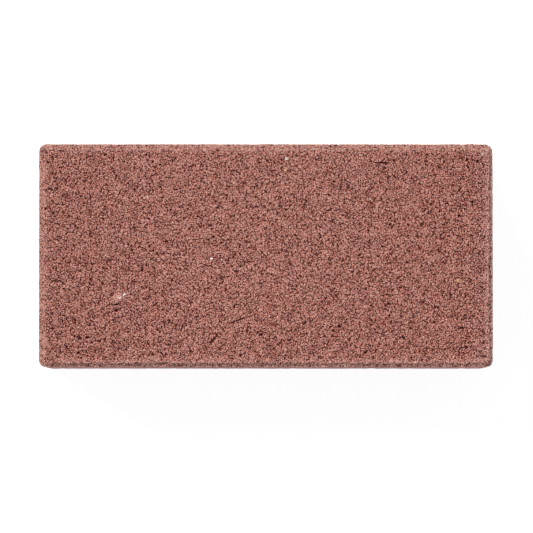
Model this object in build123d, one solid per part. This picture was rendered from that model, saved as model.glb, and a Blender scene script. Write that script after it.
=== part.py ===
from build123d import *
import math
import os

# A rectangular concrete block paver, pressed in a steel mould as one piece.
# It lies on its bed face: X is its length, Y its width, Z up through the wear face.
# The origin is at the middle of the bed face. Sizes are in millimetres.

# The mould box
LENGTH = 200.0
WIDTH = 98.5
HEIGHT = 60.0
CORNER_RADIUS = 3.5

# The rim of the wear face. The pressing shoe is smaller than the mould by a running gap,
# which leaves a narrow ledge all round, and its bevelled edge shapes the arris above it.
SHOE_GAP = 0.8
BEVEL_WIDTH = 1.2
BEVEL_DROP = 1.5
CREST_RADIUS = 1.6

# The edge round the bed face, where the mix never fills the mould's foot quite sharp
BED_EDGE_RADIUS = 0.6


def moulded_body():
    """The block up to the ledge, with the upright corners and the foot that the mould gives."""
    body_height = HEIGHT - BEVEL_DROP
    with BuildPart() as body:
        with BuildSketch():
            RectangleRounded(LENGTH, WIDTH, CORNER_RADIUS)
        extrude(amount=body_height)
        bed_face = body.faces().sort_by(Axis.Z)[0]
        fillet(bed_face.edges(), radius=BED_EDGE_RADIUS)
    return body.part


def pressed_head():
    """What stands above the ledge: a bevel that leans in from the shoe's outline to the wear face."""
    shoe_length = LENGTH - 2 * SHOE_GAP
    shoe_width = WIDTH - 2 * SHOE_GAP
    shoe_corner = CORNER_RADIUS - SHOE_GAP
    bevel_angle = math.degrees(math.atan2(BEVEL_WIDTH, BEVEL_DROP))
    with BuildPart() as head:
        with BuildSketch(Plane.XY.offset(HEIGHT - BEVEL_DROP)):
            RectangleRounded(shoe_length, shoe_width, shoe_corner)
        extrude(amount=BEVEL_DROP, taper=bevel_angle)
    return head.part


def eased_crest(stone):
    """The same stone with the crest between bevel and wear face rounded over."""
    wear_face = stone.faces().sort_by(Axis.Z)[-1]
    return stone.fillet(CREST_RADIUS, wear_face.edges())


def paving_stone():
    return eased_crest(moulded_body() + pressed_head())


os.makedirs("parts", exist_ok=True)
export_step(paving_stone(), "parts/paving_stone.step")
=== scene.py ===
import math

import bpy
import numpy as np
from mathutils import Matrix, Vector


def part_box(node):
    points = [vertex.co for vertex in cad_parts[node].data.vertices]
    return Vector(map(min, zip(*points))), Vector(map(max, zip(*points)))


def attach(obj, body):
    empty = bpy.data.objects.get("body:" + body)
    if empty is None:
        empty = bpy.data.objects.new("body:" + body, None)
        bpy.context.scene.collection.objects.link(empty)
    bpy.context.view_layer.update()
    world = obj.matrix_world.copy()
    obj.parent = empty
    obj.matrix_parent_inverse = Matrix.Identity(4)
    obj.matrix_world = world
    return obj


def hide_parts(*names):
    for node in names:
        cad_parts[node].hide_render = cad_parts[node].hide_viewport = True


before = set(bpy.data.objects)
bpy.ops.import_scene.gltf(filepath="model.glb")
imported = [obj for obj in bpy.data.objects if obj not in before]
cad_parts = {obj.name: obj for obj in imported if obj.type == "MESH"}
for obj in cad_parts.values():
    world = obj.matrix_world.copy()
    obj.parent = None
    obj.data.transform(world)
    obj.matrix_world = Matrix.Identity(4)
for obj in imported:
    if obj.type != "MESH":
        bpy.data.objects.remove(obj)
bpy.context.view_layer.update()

# The block's mould box, from the frame. The stone is worked out in millimetres.
MM = 0.001
mould_low, mould_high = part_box("paving_stone")
LENGTH, WIDTH, HEIGHT = (side / MM for side in mould_high - mould_low)
HALF_LENGTH = LENGTH / 2
HALF_WIDTH = WIDTH / 2

# The rim of the wear face: a ledge beside the pressing shoe, its bevel and a rounded crest
CORNER_RADIUS = 3.5
SHOE_GAP = 0.8
BEVEL_WIDTH = 1.2
BEVEL_DROP = 1.5
CREST_RADIUS = 1.6
ARRIS_RADIUS = 0.35
BED_EDGE_RADIUS = 0.6

# Spacing of the mesh before it is thinned, its lines along the rim's curves, and the triangles
# that are left
WEAR_SPACING = 0.27
SIDE_SPACING = 1.6
ARRIS_LINES = 5
BEVEL_LINES = 4
CREST_LINES = 6
TRIANGLE_BUDGET = 197000

# The photograph's frame, and where the wear face lies in it, in pixels
PHOTO_PIXELS = 533
FACE_PIXELS = 454.9
FACE_CENTRE = (265.87, 255.45)

# The camera stands this far from the wear face in metres, and leans this much off the upright
CAMERA_DISTANCE = 2.0
CAMERA_LEAN = math.radians(1.84)
CAMERA_SIGHT = 50.0
SENSOR_WIDTH = 36.0


class Shade:
    """One output in a node tree. Arithmetic on values adds Math nodes."""

    def __init__(self, nodes, socket):
        self.nodes = nodes
        self.socket = socket

    def maths(self, operation, first, second):
        return self.nodes.node("ShaderNodeMath", {"operation": operation}, {0: first, 1: second})

    def other(self, output):
        """Another output of the same node."""
        return Shade(self.nodes, self.socket.node.outputs[output])

    def __add__(self, other):
        return self.maths("ADD", self, other)

    def __radd__(self, other):
        return self.maths("ADD", other, self)

    def __sub__(self, other):
        return self.maths("SUBTRACT", self, other)

    def __rsub__(self, other):
        return self.maths("SUBTRACT", other, self)

    def __mul__(self, other):
        return self.maths("MULTIPLY", self, other)

    def __rmul__(self, other):
        return self.maths("MULTIPLY", other, self)


class Nodes:
    """A node tree, of a finish or of the relief, and what is added to it."""

    def __init__(self, tree):
        self.tree = tree
        tree.nodes.clear()

    def node(self, kind, settings=None, sockets=None, output=0):
        """Adds a node: its settings first, then values or links for its sockets."""
        made = self.tree.nodes.new(kind)
        for name, value in (settings or {}).items():
            setattr(made, name, value)
        for name, value in (sockets or {}).items():
            if isinstance(value, Shade):
                self.tree.links.new(value.socket, made.inputs[name])
            else:
                made.inputs[name].default_value = value
        return Shade(self, made.outputs[output]) if len(made.outputs) else None

    def between(self, first, second, share):
        """A colour that goes from first to second."""
        sockets = {0: share, 6: first, 7: second}
        return self.node("ShaderNodeMix", {"data_type": "RGBA"}, sockets, output=2)

    def stepped(self, value, low, high, to_low=0.0, to_high=1.0):
        """A value taken from one range to another, and held at the ends."""
        sockets = {"Value": value, "From Min": low, "From Max": high, "To Min": to_low, "To Max": to_high}
        return self.node("ShaderNodeMapRange", {"interpolation_type": "SMOOTHSTEP"}, sockets)

    def softly(self, operation, first, second, softness):
        """The smaller or larger of two values, with the change from one to the other rounded."""
        sockets = {0: first, 1: second, 2: softness}
        return self.node("ShaderNodeMath", {"operation": operation}, sockets)

    def part(self, vector, axis):
        """One number out of a vector or a colour."""
        sockets = {0: vector, 1: [float(axis == number) for number in range(3)]}
        return self.node("ShaderNodeVectorMath", {"operation": "DOT_PRODUCT"}, sockets, output="Value")

    def scaled(self, vector, factors):
        """A vector with each of its numbers multiplied."""
        return self.node("ShaderNodeVectorMath", {"operation": "MULTIPLY"}, {0: vector, 1: factors})

    def oval(self, place, column, row, length, width, turn):
        """How far out from the middle of an oval on the wear face a place lies, 1 at its edge."""
        pixel = LENGTH / FACE_PIXELS
        middle = ((column + 0.5 - FACE_CENTRE[0]) * pixel, (FACE_CENTRE[1] - row - 0.5) * pixel, HEIGHT)
        offset = self.node("ShaderNodeVectorMath", {"operation": "SUBTRACT"}, {0: place, 1: middle})
        turned = self.node("ShaderNodeVectorRotate", {"rotation_type": "Z_AXIS"},
                           {"Vector": offset, "Angle": math.radians(-turn)})
        shares = self.scaled(turned, (2 / (length * pixel), 2 / (width * pixel), 0.5))
        return self.node("ShaderNodeVectorMath", {"operation": "LENGTH"}, {0: shares}, output="Value")

    def noise(self, place, size, detail=2.0, output=0):
        """Soft noise whose patches are about this size."""
        sockets = {"Vector": place, "Scale": 1 / size, "Detail": detail}
        return self.node("ShaderNodeTexNoise", None, sockets, output)


# The concrete's grain, in millimetres. One expression shapes the mesh and lights the finish.

# Grains of sand: how far apart and how scattered they lie, how much their outlines are shaken,
# and how far a grain falls away from its middle
GRAIN_PITCH = 0.85
SCATTER = 0.9
SHAKE_SIZE = 1.4
SHAKE_REACH = 0.9
DOME_FALL = 0.4

# The rough paste over them: it sinks where its noise is under a level
ROUGH_SIZE = 0.42
ROUGH_DETAIL = 0.5
ROUGH_LEVEL = 0.6
ROUGH_SOFTNESS = 0.04
ROUGH_DEPTH = 2.9

# Crevices between grains, open where a slower noise is over a level
CREVICE_WIDTH = 0.17
CREVICE_DEPTH = 0.5
CREVICE_SIZE = 0.6
CREVICE_FROM = 0.48
CREVICE_TO = 0.62

# Grains that have dropped out, the few whose random draw is this high, and the slope of the pit
PIT_DRAW = (0.988, 0.998)
PIT_SLOPE = 0.35
PIT_DEPTH = 0.6

# Clumps of grains, with rounded shoulders and now and then a seam between them
CLUMP_PITCH = 1.7
CLUMP_SCATTER = 1.0
CLUMP_SHOULDER = 0.5
CLUMP_FALL = 0.12
SEAM_WIDTH = 0.17
SEAM_DEPTH = 0.65
SEAM_SIZE = 1.3
SEAM_FROM = 0.55
SEAM_TO = 0.64

# Patches in which the grain is shallower or deeper
PATCH_SIZE = 4.0
PATCH_FROM = 0.38
PATCH_TO = 0.6
PATCH_LOW = 0.75
PATCH_HIGH = 1.1

# The slow unevenness of a closed skin, and the drag marks down the sides
WANDER_SIZE = 5.0
WANDER_SOFTNESS = 0.02
WANDER_DEPTH = 0.7
DRAG_SIZE = 0.9
DRAG_STRETCH = (1.0, 1.0, 0.04)
DRAG_DEPTH = 0.08
DRAG_FADE = 2.0

# How open the texture is: on the wear face and its ends, on the rim, on the mould-drawn sides
# and on the bed
WEAR_OPENNESS = 1.0
END_OPENNESS = 0.08
RIM_OPENNESS = 0.55
SIDE_OPENNESS = 0.1
BED_OPENNESS = 0.1

# The texture starts to open this far outside the crest's inner edge, and is open after this
# width. Down the sides it closes over this height.
RIM_OVERLAP = 0.4
RIM_FADE = 1.8
SIDE_FADE = 3.0

# How far the rim's shading turns towards the wear face's
RIM_SOFTNESS = 4.0

# What stands out in the photograph, read off it. Each mark has its column and row,
# its length and width in pixels and its turn in degrees, and a hollow also has its depth.
# An edge runs between two shares of the mark's size.
HOLLOW_EDGE = (1.0, 0.3)
HOLLOWS = [
    (116, 310, 6, 4, 10, 1.1),
    (116, 304, 13, 2, 12, 0.8),
    (87, 337, 5, 3, 0, 1.0),
    (79, 338, 7, 2, -12, 0.7),
    (99, 341, 4, 3, 0, 0.9),
    (78, 352, 4, 3, 30, 0.9),
    (90, 279, 4, 3, 0, 0.7),
    (142, 270, 4, 3, 40, 0.8),
    (52, 328, 4, 3, 0, 0.9),
    (45, 208, 4, 3, 60, 0.8),
    (105, 154, 4, 2, 0, 0.8),
    (146, 154, 4, 2, 0, 0.8),
    (189, 229, 3, 3, 0, 0.7),
    (191, 302, 4, 2, 20, 0.7),
    (213, 339, 23, 2, 53, 0.7),
    (237, 320, 24, 2, 19, 0.6),
    (240, 355, 4, 3, 0, 0.9),
    (261, 334, 4, 3, 0, 0.8),
    (267, 160, 4, 3, 0, 0.8),
    (277, 213, 4, 2, 30, 0.8),
    (286, 209, 4, 2, 0, 0.8),
    (334, 181, 4, 3, 0, 0.7),
    (339, 326, 4, 3, 0, 0.9),
    (324, 336, 4, 2, 0, 0.8),
    (365, 352, 10, 2, 43, 0.8),
    (381, 162, 22, 2, 0, 0.7),
    (371, 305, 4, 3, 0, 0.8),
    (388, 303, 4, 3, 0, 0.8),
    (392, 226, 7, 2, 48, 0.7),
    (410, 328, 4, 2, 0, 0.7),
    (439, 211, 4, 2, 20, 0.8),
    (447, 203, 4, 2, 0, 0.8),
    (459, 215, 4, 3, 0, 0.8),
    (461, 327, 4, 3, 0, 0.9),
    (466, 347, 4, 3, 0, 0.9),
    (467, 159, 4, 3, 0, 0.9),
    (477, 160, 4, 3, 0, 0.9),
    (472, 201, 4, 3, 0, 0.9),
    (490, 276, 3, 3, 0, 0.7),
]
STONE_EDGE = (0.8, 1.1)
SMOOTH_STONES = [
    (116, 297, 13, 9, 15),
]
CALM = 0.45


class Grain:
    """The concrete's relief at a place, and the draw that marks out single grains.

    The hollow colours the paste: painted shade where it is deep, wear and a painted highlight where it is
    shallow. The depth is the whole relief: it adds to the hollow the mould's drag marks and the slow
    unevenness of a closed skin.
    """

    def __init__(self, nodes, place, openness, drawn):
        self.nodes = nodes
        self.place = place
        self.shaken = self.shaken_place()
        grains = {"Vector": self.shaken, "Scale": 1 / GRAIN_PITCH, "Randomness": SCATTER}
        from_middle = nodes.node("ShaderNodeTexVoronoi", None, grains)
        draws = from_middle.other("Color")
        self.rarity = nodes.part(draws, 1)

        from_edge = self.from_edge(GRAIN_PITCH, SCATTER)
        from_seam = self.from_edge(CLUMP_PITCH, CLUMP_SCATTER)
        rough = self.roughness() + self.dome(from_middle * GRAIN_PITCH)
        crevice = self.gap(from_edge, CREVICE_WIDTH, CREVICE_DEPTH, CREVICE_SIZE, CREVICE_FROM, CREVICE_TO)
        patchy = nodes.stepped(nodes.noise(place, PATCH_SIZE), PATCH_FROM, PATCH_TO, PATCH_LOW, PATCH_HIGH)
        lost = nodes.stepped(nodes.part(draws, 2), *PIT_DRAW)
        pit = lost * nodes.stepped(from_edge, 0.0, PIT_SLOPE) * PIT_DEPTH
        shoulder = nodes.stepped(from_seam, CLUMP_SHOULDER, 0.0) * CLUMP_FALL
        seam = self.gap(from_seam, SEAM_WIDTH, SEAM_DEPTH, SEAM_SIZE, SEAM_FROM, SEAM_TO)
        relief = (rough + crevice) * patchy + pit + shoulder + seam

        self.hollow = self.marked(relief * self.calmed(openness))
        self.depth = self.hollow + self.drag(drawn) + self.wander(openness)

    def shaken_place(self):
        """The place, moved about a little so that outlines aren't straight."""
        draw = {0: self.nodes.noise(self.place, SHAKE_SIZE, output="Color"), 1: (0.5, 0.5, 0.5)}
        drift = self.nodes.node("ShaderNodeVectorMath", {"operation": "SUBTRACT"}, draw)
        sockets = {0: drift, 1: (SHAKE_REACH,) * 3, 2: self.place}
        return self.nodes.node("ShaderNodeVectorMath", {"operation": "MULTIPLY_ADD"}, sockets)

    def from_edge(self, pitch, scatter):
        """How far inside its own outline a place lies, in grains or clumps of this pitch."""
        sockets = {"Vector": self.shaken, "Scale": 1 / pitch, "Randomness": scatter}
        return self.nodes.node("ShaderNodeTexVoronoi", {"feature": "DISTANCE_TO_EDGE"}, sockets) * pitch

    def dome(self, away):
        """A grain's fall from its middle."""
        return away * away * DOME_FALL

    def roughness(self):
        """The hollows of the rough paste."""
        sunk = ROUGH_LEVEL - self.nodes.noise(self.place, ROUGH_SIZE, ROUGH_DETAIL)
        below = self.nodes.softly("SMOOTH_MAX", sunk, 0.0, ROUGH_SOFTNESS)
        return below * below * ROUGH_DEPTH

    def gap(self, from_outline, width, depth, size, low, high):
        """A gap along an outline, open where a noise of this size is over a level."""
        gape = self.nodes.stepped(self.nodes.noise(self.place, size, 1.0), low, high)
        return self.nodes.stepped(from_outline, width, 0.0) * gape * depth

    def calmed(self, openness):
        """The openness, less on the smooth stones that show in the wear face."""
        for stone in SMOOTH_STONES:
            outer = self.nodes.oval(self.shaken, *stone)
            openness = openness * self.nodes.stepped(outer, *STONE_EDGE, 1 - CALM, 1.0)
        return openness

    def marked(self, hollow):
        """The relief with the photograph's own hollows in it."""
        for *oval, sunk in HOLLOWS:
            outer = self.nodes.oval(self.shaken, *oval)
            hollow = hollow + self.nodes.stepped(outer, *HOLLOW_EDGE, 0.0, sunk)
        return hollow

    def drag(self, drawn):
        """The upright marks that the mould leaves as it is lifted off."""
        drawn_out = self.nodes.scaled(self.place, DRAG_STRETCH)
        return self.nodes.noise(drawn_out, DRAG_SIZE, 1.0) * drawn * DRAG_DEPTH

    def wander(self, openness):
        """The slow unevenness where the skin is closed."""
        closed = self.nodes.stepped(openness, WEAR_OPENNESS, RIM_OPENNESS)
        swell = self.nodes.noise(self.place, WANDER_SIZE, 1.0) - 0.5
        bulge = self.nodes.softly("SMOOTH_MAX", swell, 0.0, WANDER_SOFTNESS)
        return bulge * closed * WANDER_DEPTH


# The bare shape of the block

CORE_X = HALF_LENGTH - CORNER_RADIUS
CORE_Y = HALF_WIDTH - CORNER_RADIUS

BEVEL_ANGLE = math.atan2(BEVEL_DROP, BEVEL_WIDTH)
CREST_REACH = CREST_RADIUS * math.tan(BEVEL_ANGLE / 2)
CREST_FOOT = SHOE_GAP + BEVEL_WIDTH - CREST_REACH * math.cos(BEVEL_ANGLE)
CREST_TOP = SHOE_GAP + BEVEL_WIDTH + CREST_REACH
SIDE_TOP = HEIGHT - BEVEL_DROP - ARRIS_RADIUS
SIDE_FOOT = BED_EDGE_RADIUS


def eased(inset, radius):
    """How far an edge of this radius has dropped away at a distance in from the outline."""
    left = np.clip(radius - inset, 0, radius)
    return radius - np.sqrt(radius ** 2 - left ** 2)


def wear_height(inset):
    """Height of the wear side's bare profile at a distance in from the outline."""
    ledge = HEIGHT - BEVEL_DROP
    bevel = ledge + (inset - SHOE_GAP) * math.tan(BEVEL_ANGLE)
    lean = np.clip(CREST_TOP - inset, 0, CREST_RADIUS)
    crest = HEIGHT - CREST_RADIUS + np.sqrt(CREST_RADIUS ** 2 - lean ** 2)
    height = np.where(inset < CREST_FOOT, np.maximum(bevel, ledge), crest)
    return height - eased(inset, ARRIS_RADIUS)


def rim_insets():
    """Distances in from the outline at which the rim needs a line of vertices."""
    turns = np.linspace(0, math.pi / 2, ARRIS_LINES)
    arris = ARRIS_RADIUS * (1 - np.cos(turns))
    bevel = np.linspace(SHOE_GAP, CREST_FOOT, BEVEL_LINES)
    crest = np.linspace(CREST_FOOT, CREST_TOP, CREST_LINES)[1:]
    return np.concatenate([arris, [(ARRIS_RADIUS + SHOE_GAP) / 2], bevel, crest])


def mesh_lines(half):
    """Places of the mesh lines across the block, an odd number, with the rim's at both ends."""
    rim = rim_insets()
    field = half - rim[-1]
    steps = 2 * math.ceil(field / WEAR_SPACING)
    inner = np.linspace(-field, field, steps + 1)
    return np.concatenate([rim - half, inner[1:-1], half - rim[::-1]])


def inset_of(x, y):
    """How far in from the straight sides a plan place lies."""
    return np.minimum(HALF_LENGTH - np.abs(x), HALF_WIDTH - np.abs(y))


def plan(lines_x, lines_y):
    """Plan places and insets of a grid of lines, with its corners drawn in to round ones."""
    x, y = np.meshgrid(lines_x, lines_y, indexing="ij")
    over_x = np.abs(x) - CORE_X
    over_y = np.abs(y) - CORE_Y
    reach = np.maximum(over_x, over_y)
    corner = (over_x > 0) & (over_y > 0)
    pull = np.where(corner, reach / np.maximum(np.hypot(over_x, over_y), 1e-9), 1)
    round_x = np.sign(x) * (CORE_X + over_x * pull)
    round_y = np.sign(y) * (CORE_Y + over_y * pull)
    return np.where(corner, round_x, x), np.where(corner, round_y, y), inset_of(x, y)


def loop_of(numbers):
    """The outer ring of a grid of vertex numbers, in order round the block."""
    return np.concatenate([numbers[:-1, 0], numbers[-1, :-1], numbers[:0:-1, -1], numbers[0, :0:-1]])


def patch_triangles(numbers):
    """Two triangles for each cell of a grid of vertex numbers."""
    a, b = numbers[:-1, :-1].ravel(), numbers[1:, :-1].ravel()
    c, d = numbers[1:, 1:].ravel(), numbers[:-1, 1:].ravel()
    return np.concatenate([np.stack([a, b, c], 1), np.stack([a, c, d], 1)])


def band_triangles(upper, lower):
    """A band between two closed rings of as many vertices each."""
    upper_next, lower_next = np.roll(upper, -1), np.roll(lower, -1)
    first = np.stack([upper, lower, lower_next], 1)
    second = np.stack([upper, lower_next, upper_next], 1)
    return np.concatenate([first, second])


def halving_triangles(fine, coarse):
    """A band from a closed ring to one below it with half as many vertices."""
    start, middle, end = fine[0::2], fine[1::2], np.roll(fine, -2)[0::2]
    after = np.roll(coarse, -1)
    return np.concatenate([
        np.stack([start, coarse, middle], 1),
        np.stack([middle, coarse, after], 1),
        np.stack([middle, after, end], 1),
    ])


def bare_block():
    """Vertices in millimetres and triangles of the block before its grain."""
    lines_x, lines_y = mesh_lines(HALF_LENGTH), mesh_lines(HALF_WIDTH)
    x, y, inset = plan(lines_x, lines_y)
    wear = np.stack([x, y, wear_height(inset)], -1)
    wear_numbers = np.arange(x.size).reshape(x.shape)

    bed_x, bed_y, bed_inset = plan(lines_x[::2], lines_y[::2])
    bed = np.stack([bed_x, bed_y, eased(bed_inset, BED_EDGE_RADIUS)], -1)
    bed_numbers = x.size + np.arange(bed_x.size).reshape(bed_x.shape)

    wear_ring = loop_of(wear_numbers)
    bed_ring = loop_of(bed_numbers)
    rows = math.ceil((SIDE_TOP - SIDE_FOOT) / SIDE_SPACING)
    heights = np.linspace(SIDE_TOP, SIDE_FOOT, rows + 1)[1:-1]
    side_x, level = np.meshgrid(x.ravel()[wear_ring][::2], heights)
    side_y, level = np.meshgrid(y.ravel()[wear_ring][::2], heights)
    side = np.stack([side_x, side_y, level], -1)
    side_numbers = x.size + bed_x.size + np.arange(side_x.size).reshape(side_x.shape)

    triangles = [
        patch_triangles(wear_numbers),
        patch_triangles(bed_numbers)[:, ::-1],
        halving_triangles(wear_ring, side_numbers[0]),
        band_triangles(side_numbers[-1], bed_ring),
    ]
    for upper, lower in zip(side_numbers, side_numbers[1:]):
        triangles.append(band_triangles(upper, lower))
    vertices = np.concatenate([part.reshape(-1, 3) for part in (wear, bed, side)])
    return vertices, np.concatenate(triangles)


def openness_at(x, y, z):
    """How open the texture is at each place, from closed paste at 0 to open sand at 1."""
    inset = inset_of(x, y)
    field = np.clip((inset - CREST_TOP + RIM_OVERLAP) / RIM_FADE, 0, 1)
    wear = WEAR_OPENNESS + END_OPENNESS * (np.abs(x) / HALF_LENGTH) ** 2
    wear = RIM_OPENNESS + (wear - RIM_OPENNESS) * field
    near_top = np.clip((z - SIDE_TOP + SIDE_FADE) / SIDE_FADE, 0, 1)
    side = SIDE_OPENNESS + (RIM_OPENNESS - SIDE_OPENNESS) * near_top
    return np.where(z > SIDE_TOP, wear, np.where(inset < BED_EDGE_RADIUS, side, BED_OPENNESS))


def drawn_at(z):
    """How much of the mould's drag marks a place carries."""
    return np.clip((z - SIDE_FOOT) / DRAG_FADE, 0, 1) * np.clip((SIDE_TOP - z) / DRAG_FADE, 0, 1)


# The stone's mesh

def points_of(mesh):
    """The mesh's vertices, in millimetres."""
    places = np.empty(len(mesh.vertices) * 3, np.float32)
    mesh.vertices.foreach_get("co", places)
    return places.reshape(-1, 3).astype(float) / MM


def store(mesh, name, values):
    """Keeps a number or a place with each vertex."""
    is_place = values.ndim == 2
    if name in mesh.attributes:
        mesh.attributes.remove(mesh.attributes[name])
    layer = mesh.attributes.new(name, "FLOAT_VECTOR" if is_place else "FLOAT", "POINT")
    layer.data.foreach_set("vector" if is_place else "value", values.astype(np.float32).ravel())


def stored(mesh, name, is_place=False):
    """The numbers or places kept with the vertices."""
    values = np.empty(len(mesh.vertices) * (3 if is_place else 1), np.float32)
    mesh.attributes[name].data.foreach_get("vector" if is_place else "value", values)
    values = values.astype(float)
    return values.reshape(-1, 3) if is_place else values


def mesh_from(name, vertices, triangles):
    """A mesh in metres from vertices in millimetres and triangles."""
    mesh = bpy.data.meshes.new(name)
    mesh.vertices.add(len(vertices))
    mesh.vertices.foreach_set("co", (vertices * MM).astype(np.float32).ravel())
    mesh.loops.add(triangles.size)
    mesh.loops.foreach_set("vertex_index", triangles.astype(np.int32).ravel())
    mesh.polygons.add(len(triangles))
    mesh.polygons.foreach_set("loop_start", np.arange(0, triangles.size, 3, dtype=np.int32))
    mesh.update(calc_edges=True)
    return mesh


def settled(stone):
    """The stone's mesh with its modifiers applied."""
    graph = bpy.context.evaluated_depsgraph_get()
    mesh = bpy.data.meshes.new_from_object(stone.evaluated_get(graph))
    stone.modifiers.clear()
    stone.data = mesh
    return mesh


def weigh_grain(stone):
    """Works out the grain's depth at each vertex, by the same nodes as the finish."""
    tree = bpy.data.node_groups.new("grain_depth", "GeometryNodeTree")
    for way in ("INPUT", "OUTPUT"):
        tree.interface.new_socket("Geometry", in_out=way, socket_type="NodeSocketGeometry")
    nodes = Nodes(tree)
    kept_as = "GeometryNodeInputNamedAttribute"
    place = nodes.node(kept_as, {"data_type": "FLOAT_VECTOR"}, {"Name": "bare_place"})
    openness = nodes.node(kept_as, {"data_type": "FLOAT"}, {"Name": "openness"})
    drawn = nodes.node(kept_as, {"data_type": "FLOAT"}, {"Name": "drawn"})
    grain = Grain(nodes, place, openness, drawn)
    shape = nodes.node("NodeGroupInput")
    kept = nodes.node("GeometryNodeStoreNamedAttribute", {"data_type": "FLOAT", "domain": "POINT"},
                      {"Geometry": shape, "Name": "depth", "Value": grain.depth})
    nodes.node("NodeGroupOutput", None, {0: kept})
    stone.modifiers.new("grain_depth", "NODES").node_group = tree
    return stored(settled(stone), "depth")


def press_grain(stone):
    """Sinks the surface to the grain's depth, square to the bare block."""
    mesh = stone.data
    places = points_of(mesh)
    x, y, z = places.T
    store(mesh, "bare_place", places)
    store(mesh, "openness", openness_at(x, y, z))
    store(mesh, "drawn", drawn_at(z))
    outward = np.empty(len(mesh.vertices) * 3, np.float32)
    mesh.vertices.foreach_get("normal", outward)
    outward = outward.reshape(-1, 3)
    softened = outward + np.outer(z > SIDE_TOP, (0, 0, RIM_SOFTNESS))
    store(mesh, "outward", softened / np.linalg.norm(softened, axis=1)[:, None])
    depth = weigh_grain(stone)
    sunk = places - outward * depth[:, None]
    stone.data.vertices.foreach_set("co", (sunk * MM).astype(np.float32).ravel())


def thin(stone):
    """Collapses the flattest edges until the stone is down to its triangles, inside its mould box."""
    thinning = stone.modifiers.new("thinning", "DECIMATE")
    thinning.ratio = TRIANGLE_BUDGET / len(stone.data.polygons)
    thinning.use_collapse_triangulate = True
    mesh = settled(stone)
    mould_side = np.array([HALF_LENGTH, HALF_WIDTH, HEIGHT])
    places = np.clip(points_of(mesh), mould_side * (-1, -1, 0), mould_side)
    mesh.vertices.foreach_set("co", (places * MM).astype(np.float32).ravel())
    bare = stored(mesh, "bare_place", is_place=True)
    # A collapse blends the bare places, so on the field inside the rim they are set again
    in_field = (inset_of(*places[:, :2].T) > CREST_TOP) & (places[:, 2] > HEIGHT / 2)
    bare[in_field, :2] = places[in_field, :2]
    store(mesh, "bare_place", bare)


def cast_stone():
    """The stone as one closed piece."""
    vertices, triangles = bare_block()
    stone = bpy.data.objects.new("pressed_stone", mesh_from("pressed_stone", vertices, triangles))
    bpy.context.scene.collection.objects.link(stone)
    press_grain(stone)
    thin(stone)
    stone.data.shade_smooth()
    stone.data.materials.append(red_concrete())
    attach(stone, "root")
    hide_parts("paving_stone")


# The finish. The paste is darker and redder the deeper a place lies, which is painted shade, and paler at
# the top, partly wear and partly a painted highlight.

PASTE = (0.42, 0.176, 0.138, 1)
DEEP_RED = (0.405, 0.166, 0.128, 1)
MOTTLING_SIZE = 14.0
MOTTLING_SPREAD = (0.3, 0.7)
SKIN_PASTE = (0.365, 0.152, 0.118, 1)
OPEN_PASTE_FROM = 0.95
# The paste greyer and cooler towards the right end: a painted cool light from that side
COOL_LIT_PASTE = (0.395, 0.184, 0.153, 1)
COOL_LIT_REACH = 12.0
COOL_LIT_FULL = 4.0
# Paler tops of the grain, partly wear and partly a painted highlight
WORN_AND_HIGHLIT_GRAIN = (0.45, 0.242, 0.203, 1)
WORN_AND_HIGHLIT_DEPTH = 0.22
PALE_GRAIN = (0.62, 0.42, 0.34, 1)
PALE_DRAW = (0.985, 1.005)
PALE_DEPTHS = (0.3, 0.1)
PALE_STRENGTH = 0.8
# Painted shade: the paste darker and redder the deeper it lies in a hollow
SHADED_PASTE = (0.34, 0.080, 0.050, 1)
SHADED_FROM = 0.13
SHADED_TO = 0.36
PAINTED_HOLLOW_SHADE = (0.070, 0.006, 0.003, 1)
HOLLOW_SHADE_FROM = 0.26
HOLLOW_SHADE_TO = 0.48

# Specks finer than the mesh, how strongly the shading shows the relief, and the matt surface
SPECKLE_SIZE = 0.5
SPECKLE_HEIGHT = 0.04
RELIEF_SHOWN = 1.35
ROUGHNESS = 0.85
SHEEN = 0.35

# Single chips and specks in the photograph: column, row, length, width, turn, and colour
WHITE_CHIP = (0.86, 0.78, 0.72, 1)
PALE_CHIP = (0.66, 0.50, 0.43, 1)
OCHRE_CHIP = (0.62, 0.36, 0.17, 1)
CHIP_EDGE = (1.1, 0.6)
CHIPS = [
    (124, 294, 4, 3, 30, WHITE_CHIP),
    (119, 297, 3, 2, 0, WHITE_CHIP),
    (211, 258, 3, 3, 0, WHITE_CHIP),
    (221, 259, 2, 2, 0, PALE_CHIP),
    (146, 196, 4, 2, 90, PALE_CHIP),
    (286, 158, 5, 3, 10, PALE_CHIP),
    (482, 153, 5, 3, 0, PALE_CHIP),
    (285, 169, 3, 3, 0, OCHRE_CHIP),
    (457, 280, 3, 3, 0, OCHRE_CHIP),
]


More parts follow.
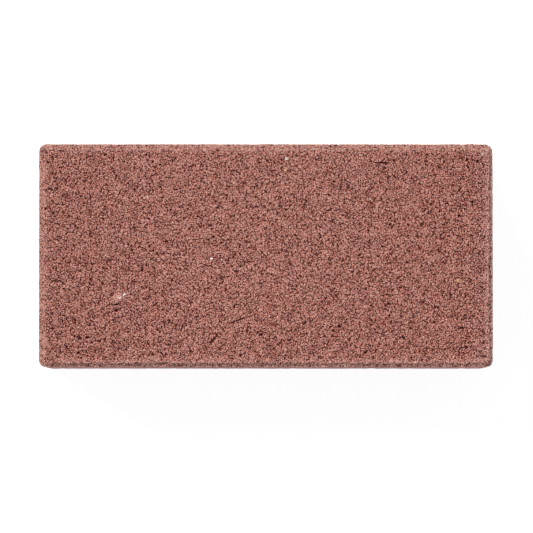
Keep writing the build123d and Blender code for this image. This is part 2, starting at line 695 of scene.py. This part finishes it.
def concrete_colour(nodes, grain, openness):
    """Paste-coated sand: mottled, closed at the rim, greyed at the right end as a painted cool light,
    coloured by its relief with painted shade in the hollows and tops paler by wear and a painted
    highlight.
    """
    place, hollow = grain.place, grain.hollow
    mottled = nodes.stepped(nodes.noise(place, MOTTLING_SIZE, 3.0), *MOTTLING_SPREAD)
    colour = nodes.between(PASTE, DEEP_RED, mottled)
    colour = nodes.between(SKIN_PASTE, colour, nodes.stepped(openness, RIM_OPENNESS, OPEN_PASTE_FROM))
    # Painted cool light towards the right end
    cool_lit_share = nodes.stepped(nodes.part(place, 0), HALF_LENGTH - COOL_LIT_REACH, HALF_LENGTH - COOL_LIT_FULL)
    colour = nodes.between(colour, COOL_LIT_PASTE, cool_lit_share)
    # Paler tops: partly wear, partly a painted highlight
    colour = nodes.between(colour, WORN_AND_HIGHLIT_GRAIN, nodes.stepped(hollow, WORN_AND_HIGHLIT_DEPTH, 0.0))
    rare = nodes.stepped(grain.rarity, *PALE_DRAW)
    pale = rare * nodes.stepped(hollow, *PALE_DEPTHS) * PALE_STRENGTH
    colour = nodes.between(colour, PALE_GRAIN, pale)
    # Painted shade in the hollows
    colour = nodes.between(colour, SHADED_PASTE, nodes.stepped(hollow, SHADED_FROM, SHADED_TO))
    colour = nodes.between(colour, PAINTED_HOLLOW_SHADE, nodes.stepped(hollow, HOLLOW_SHADE_FROM, HOLLOW_SHADE_TO))
    for *oval, chip in CHIPS:
        outer = nodes.oval(grain.shaken, *oval)
        colour = nodes.between(colour, chip, nodes.stepped(outer, *CHIP_EDGE))
    return colour


def red_concrete():
    """Through-coloured red concrete with an open, sandy grain."""
    material = bpy.data.materials.new("red_concrete")
    material.use_nodes = True
    nodes = Nodes(material.node_tree)
    kept_as = "ShaderNodeAttribute"
    place = nodes.node(kept_as, {"attribute_name": "bare_place"}, output="Vector")
    openness = nodes.node(kept_as, {"attribute_name": "openness"}, output="Fac")
    drawn = nodes.node(kept_as, {"attribute_name": "drawn"}, output="Fac")
    outward = nodes.node(kept_as, {"attribute_name": "outward"}, output="Vector")
    grain = Grain(nodes, place, openness, drawn)

    to_world = {"vector_type": "NORMAL", "convert_from": "OBJECT", "convert_to": "WORLD"}
    bare = nodes.node("ShaderNodeVectorTransform", to_world, {"Vector": outward})
    height = nodes.noise(place, SPECKLE_SIZE) * SPECKLE_HEIGHT - grain.depth
    bump = nodes.node("ShaderNodeBump", None, {
        "Strength": 1.0,
        "Distance": MM * RELIEF_SHOWN,
        "Height": height,
        "Normal": bare,
    })
    surface = nodes.node("ShaderNodeBsdfPrincipled", None, {
        "Base Color": concrete_colour(nodes, grain, openness),
        "Roughness": ROUGHNESS,
        "Specular IOR Level": SHEEN,
        "Normal": bump,
    })
    nodes.node("ShaderNodeOutputMaterial", None, {"Surface": surface})
    return material


# The studio. Lengths are in metres here.

FLOOR_REACH = 8.0
FLOOR_COLOUR = (0.4, 0.4, 0.4, 1)
FLOOR_LIFT = 0.78
WORLD_STRENGTH = 0.36
KEY_TURN = math.radians(130)
KEY_RISE = math.radians(40)
KEY_POWER = 5.2
KEY_SPREAD = math.radians(30)
KEY_COLOUR = (1.0, 1.0, 1.0)
FILL_TURN = math.radians(-38)
FILL_RISE = math.radians(40)
FILL_POWER = 1.15
FILL_SPREAD = math.radians(60)
FILL_COLOUR = (0.86, 0.93, 1.0)


def shown_itself(nodes):
    """1 for rays that show the floor or surround itself, straight or in a gloss."""
    camera = nodes.node("ShaderNodeLightPath", output="Is Camera Ray")
    gloss = camera.other("Is Glossy Ray") + camera.other("Is Transmission Ray")
    return nodes.node("ShaderNodeClamp", None, {"Value": camera + gloss})


def studio_floor():
    """A pale floor that shows white in the open and keeps the stone's shadow."""
    material = bpy.data.materials.new("studio_floor")
    material.use_nodes = True
    nodes = Nodes(material.node_tree)
    matt = nodes.node("ShaderNodeBsdfDiffuse", None, {"Color": FLOOR_COLOUR})
    lift = nodes.node("ShaderNodeEmission", None, {"Strength": shown_itself(nodes) * FLOOR_LIFT})
    both = nodes.node("ShaderNodeAddShader", None, {0: matt, 1: lift})
    nodes.node("ShaderNodeOutputMaterial", None, {"Surface": both})
    mesh = bpy.data.meshes.new("studio_floor")
    ways = [(-1, -1), (1, -1), (1, 1), (-1, 1)]
    mesh.from_pydata([(x * FLOOR_REACH, y * FLOOR_REACH, 0) for x, y in ways], [], [(0, 1, 2, 3)])
    mesh.materials.append(material)
    floor = bpy.data.objects.new("studio_floor", mesh)
    bpy.context.scene.collection.objects.link(floor)


def lamp(name, turn, rise, power, spread, colour):
    """A far soft lamp, from a direction given by its turn from +X and its height."""
    light = bpy.data.lights.new(name, "SUN")
    light.energy = power
    light.angle = spread
    light.color = colour
    shown = bpy.data.objects.new(name, light)
    towards = Vector((math.cos(turn) * math.cos(rise), math.sin(turn) * math.cos(rise), math.sin(rise)))
    shown.rotation_euler = towards.to_track_quat("Z", "Y").to_euler()
    bpy.context.scene.collection.objects.link(shown)


def studio_world():
    """An even pale surround that shows as white."""
    world = bpy.data.worlds.new("studio")
    bpy.context.scene.world = world
    world.use_nodes = True
    nodes = Nodes(world.node_tree)
    strength = shown_itself(nodes) * (1 - WORLD_STRENGTH) + WORLD_STRENGTH
    surround = nodes.node("ShaderNodeBackground", None, {"Color": (1, 1, 1, 1), "Strength": strength})
    nodes.node("ShaderNodeOutputWorld", None, {"Surface": surround})


def set_camera():
    """A long lens over the wear face, leaning just enough to catch the near side's top edge."""
    pixel = LENGTH * MM / FACE_PIXELS
    data = bpy.data.cameras.new("camera")
    data.sensor_width = SENSOR_WIDTH
    data.lens = SENSOR_WIDTH * CAMERA_DISTANCE / (PHOTO_PIXELS * pixel)
    data.clip_end = CAMERA_SIGHT
    right = (PHOTO_PIXELS / 2 - FACE_CENTRE[0]) * pixel
    up = (FACE_CENTRE[1] - PHOTO_PIXELS / 2) * pixel
    back = Vector((0, -math.sin(CAMERA_LEAN), math.cos(CAMERA_LEAN)))
    camera = bpy.data.objects.new("camera", data)
    camera.location = Vector((right, up, HEIGHT * MM)) + back * CAMERA_DISTANCE
    camera.rotation_euler = (CAMERA_LEAN, 0, 0)
    bpy.context.scene.collection.objects.link(camera)
    bpy.context.scene.camera = camera


set_camera()
cast_stone()
studio_floor()
studio_world()
lamp("key", KEY_TURN, KEY_RISE, KEY_POWER, KEY_SPREAD, KEY_COLOUR)
lamp("fill", FILL_TURN, FILL_RISE, FILL_POWER, FILL_SPREAD, FILL_COLOUR)
bpy.context.scene.view_settings.view_transform = "Standard"
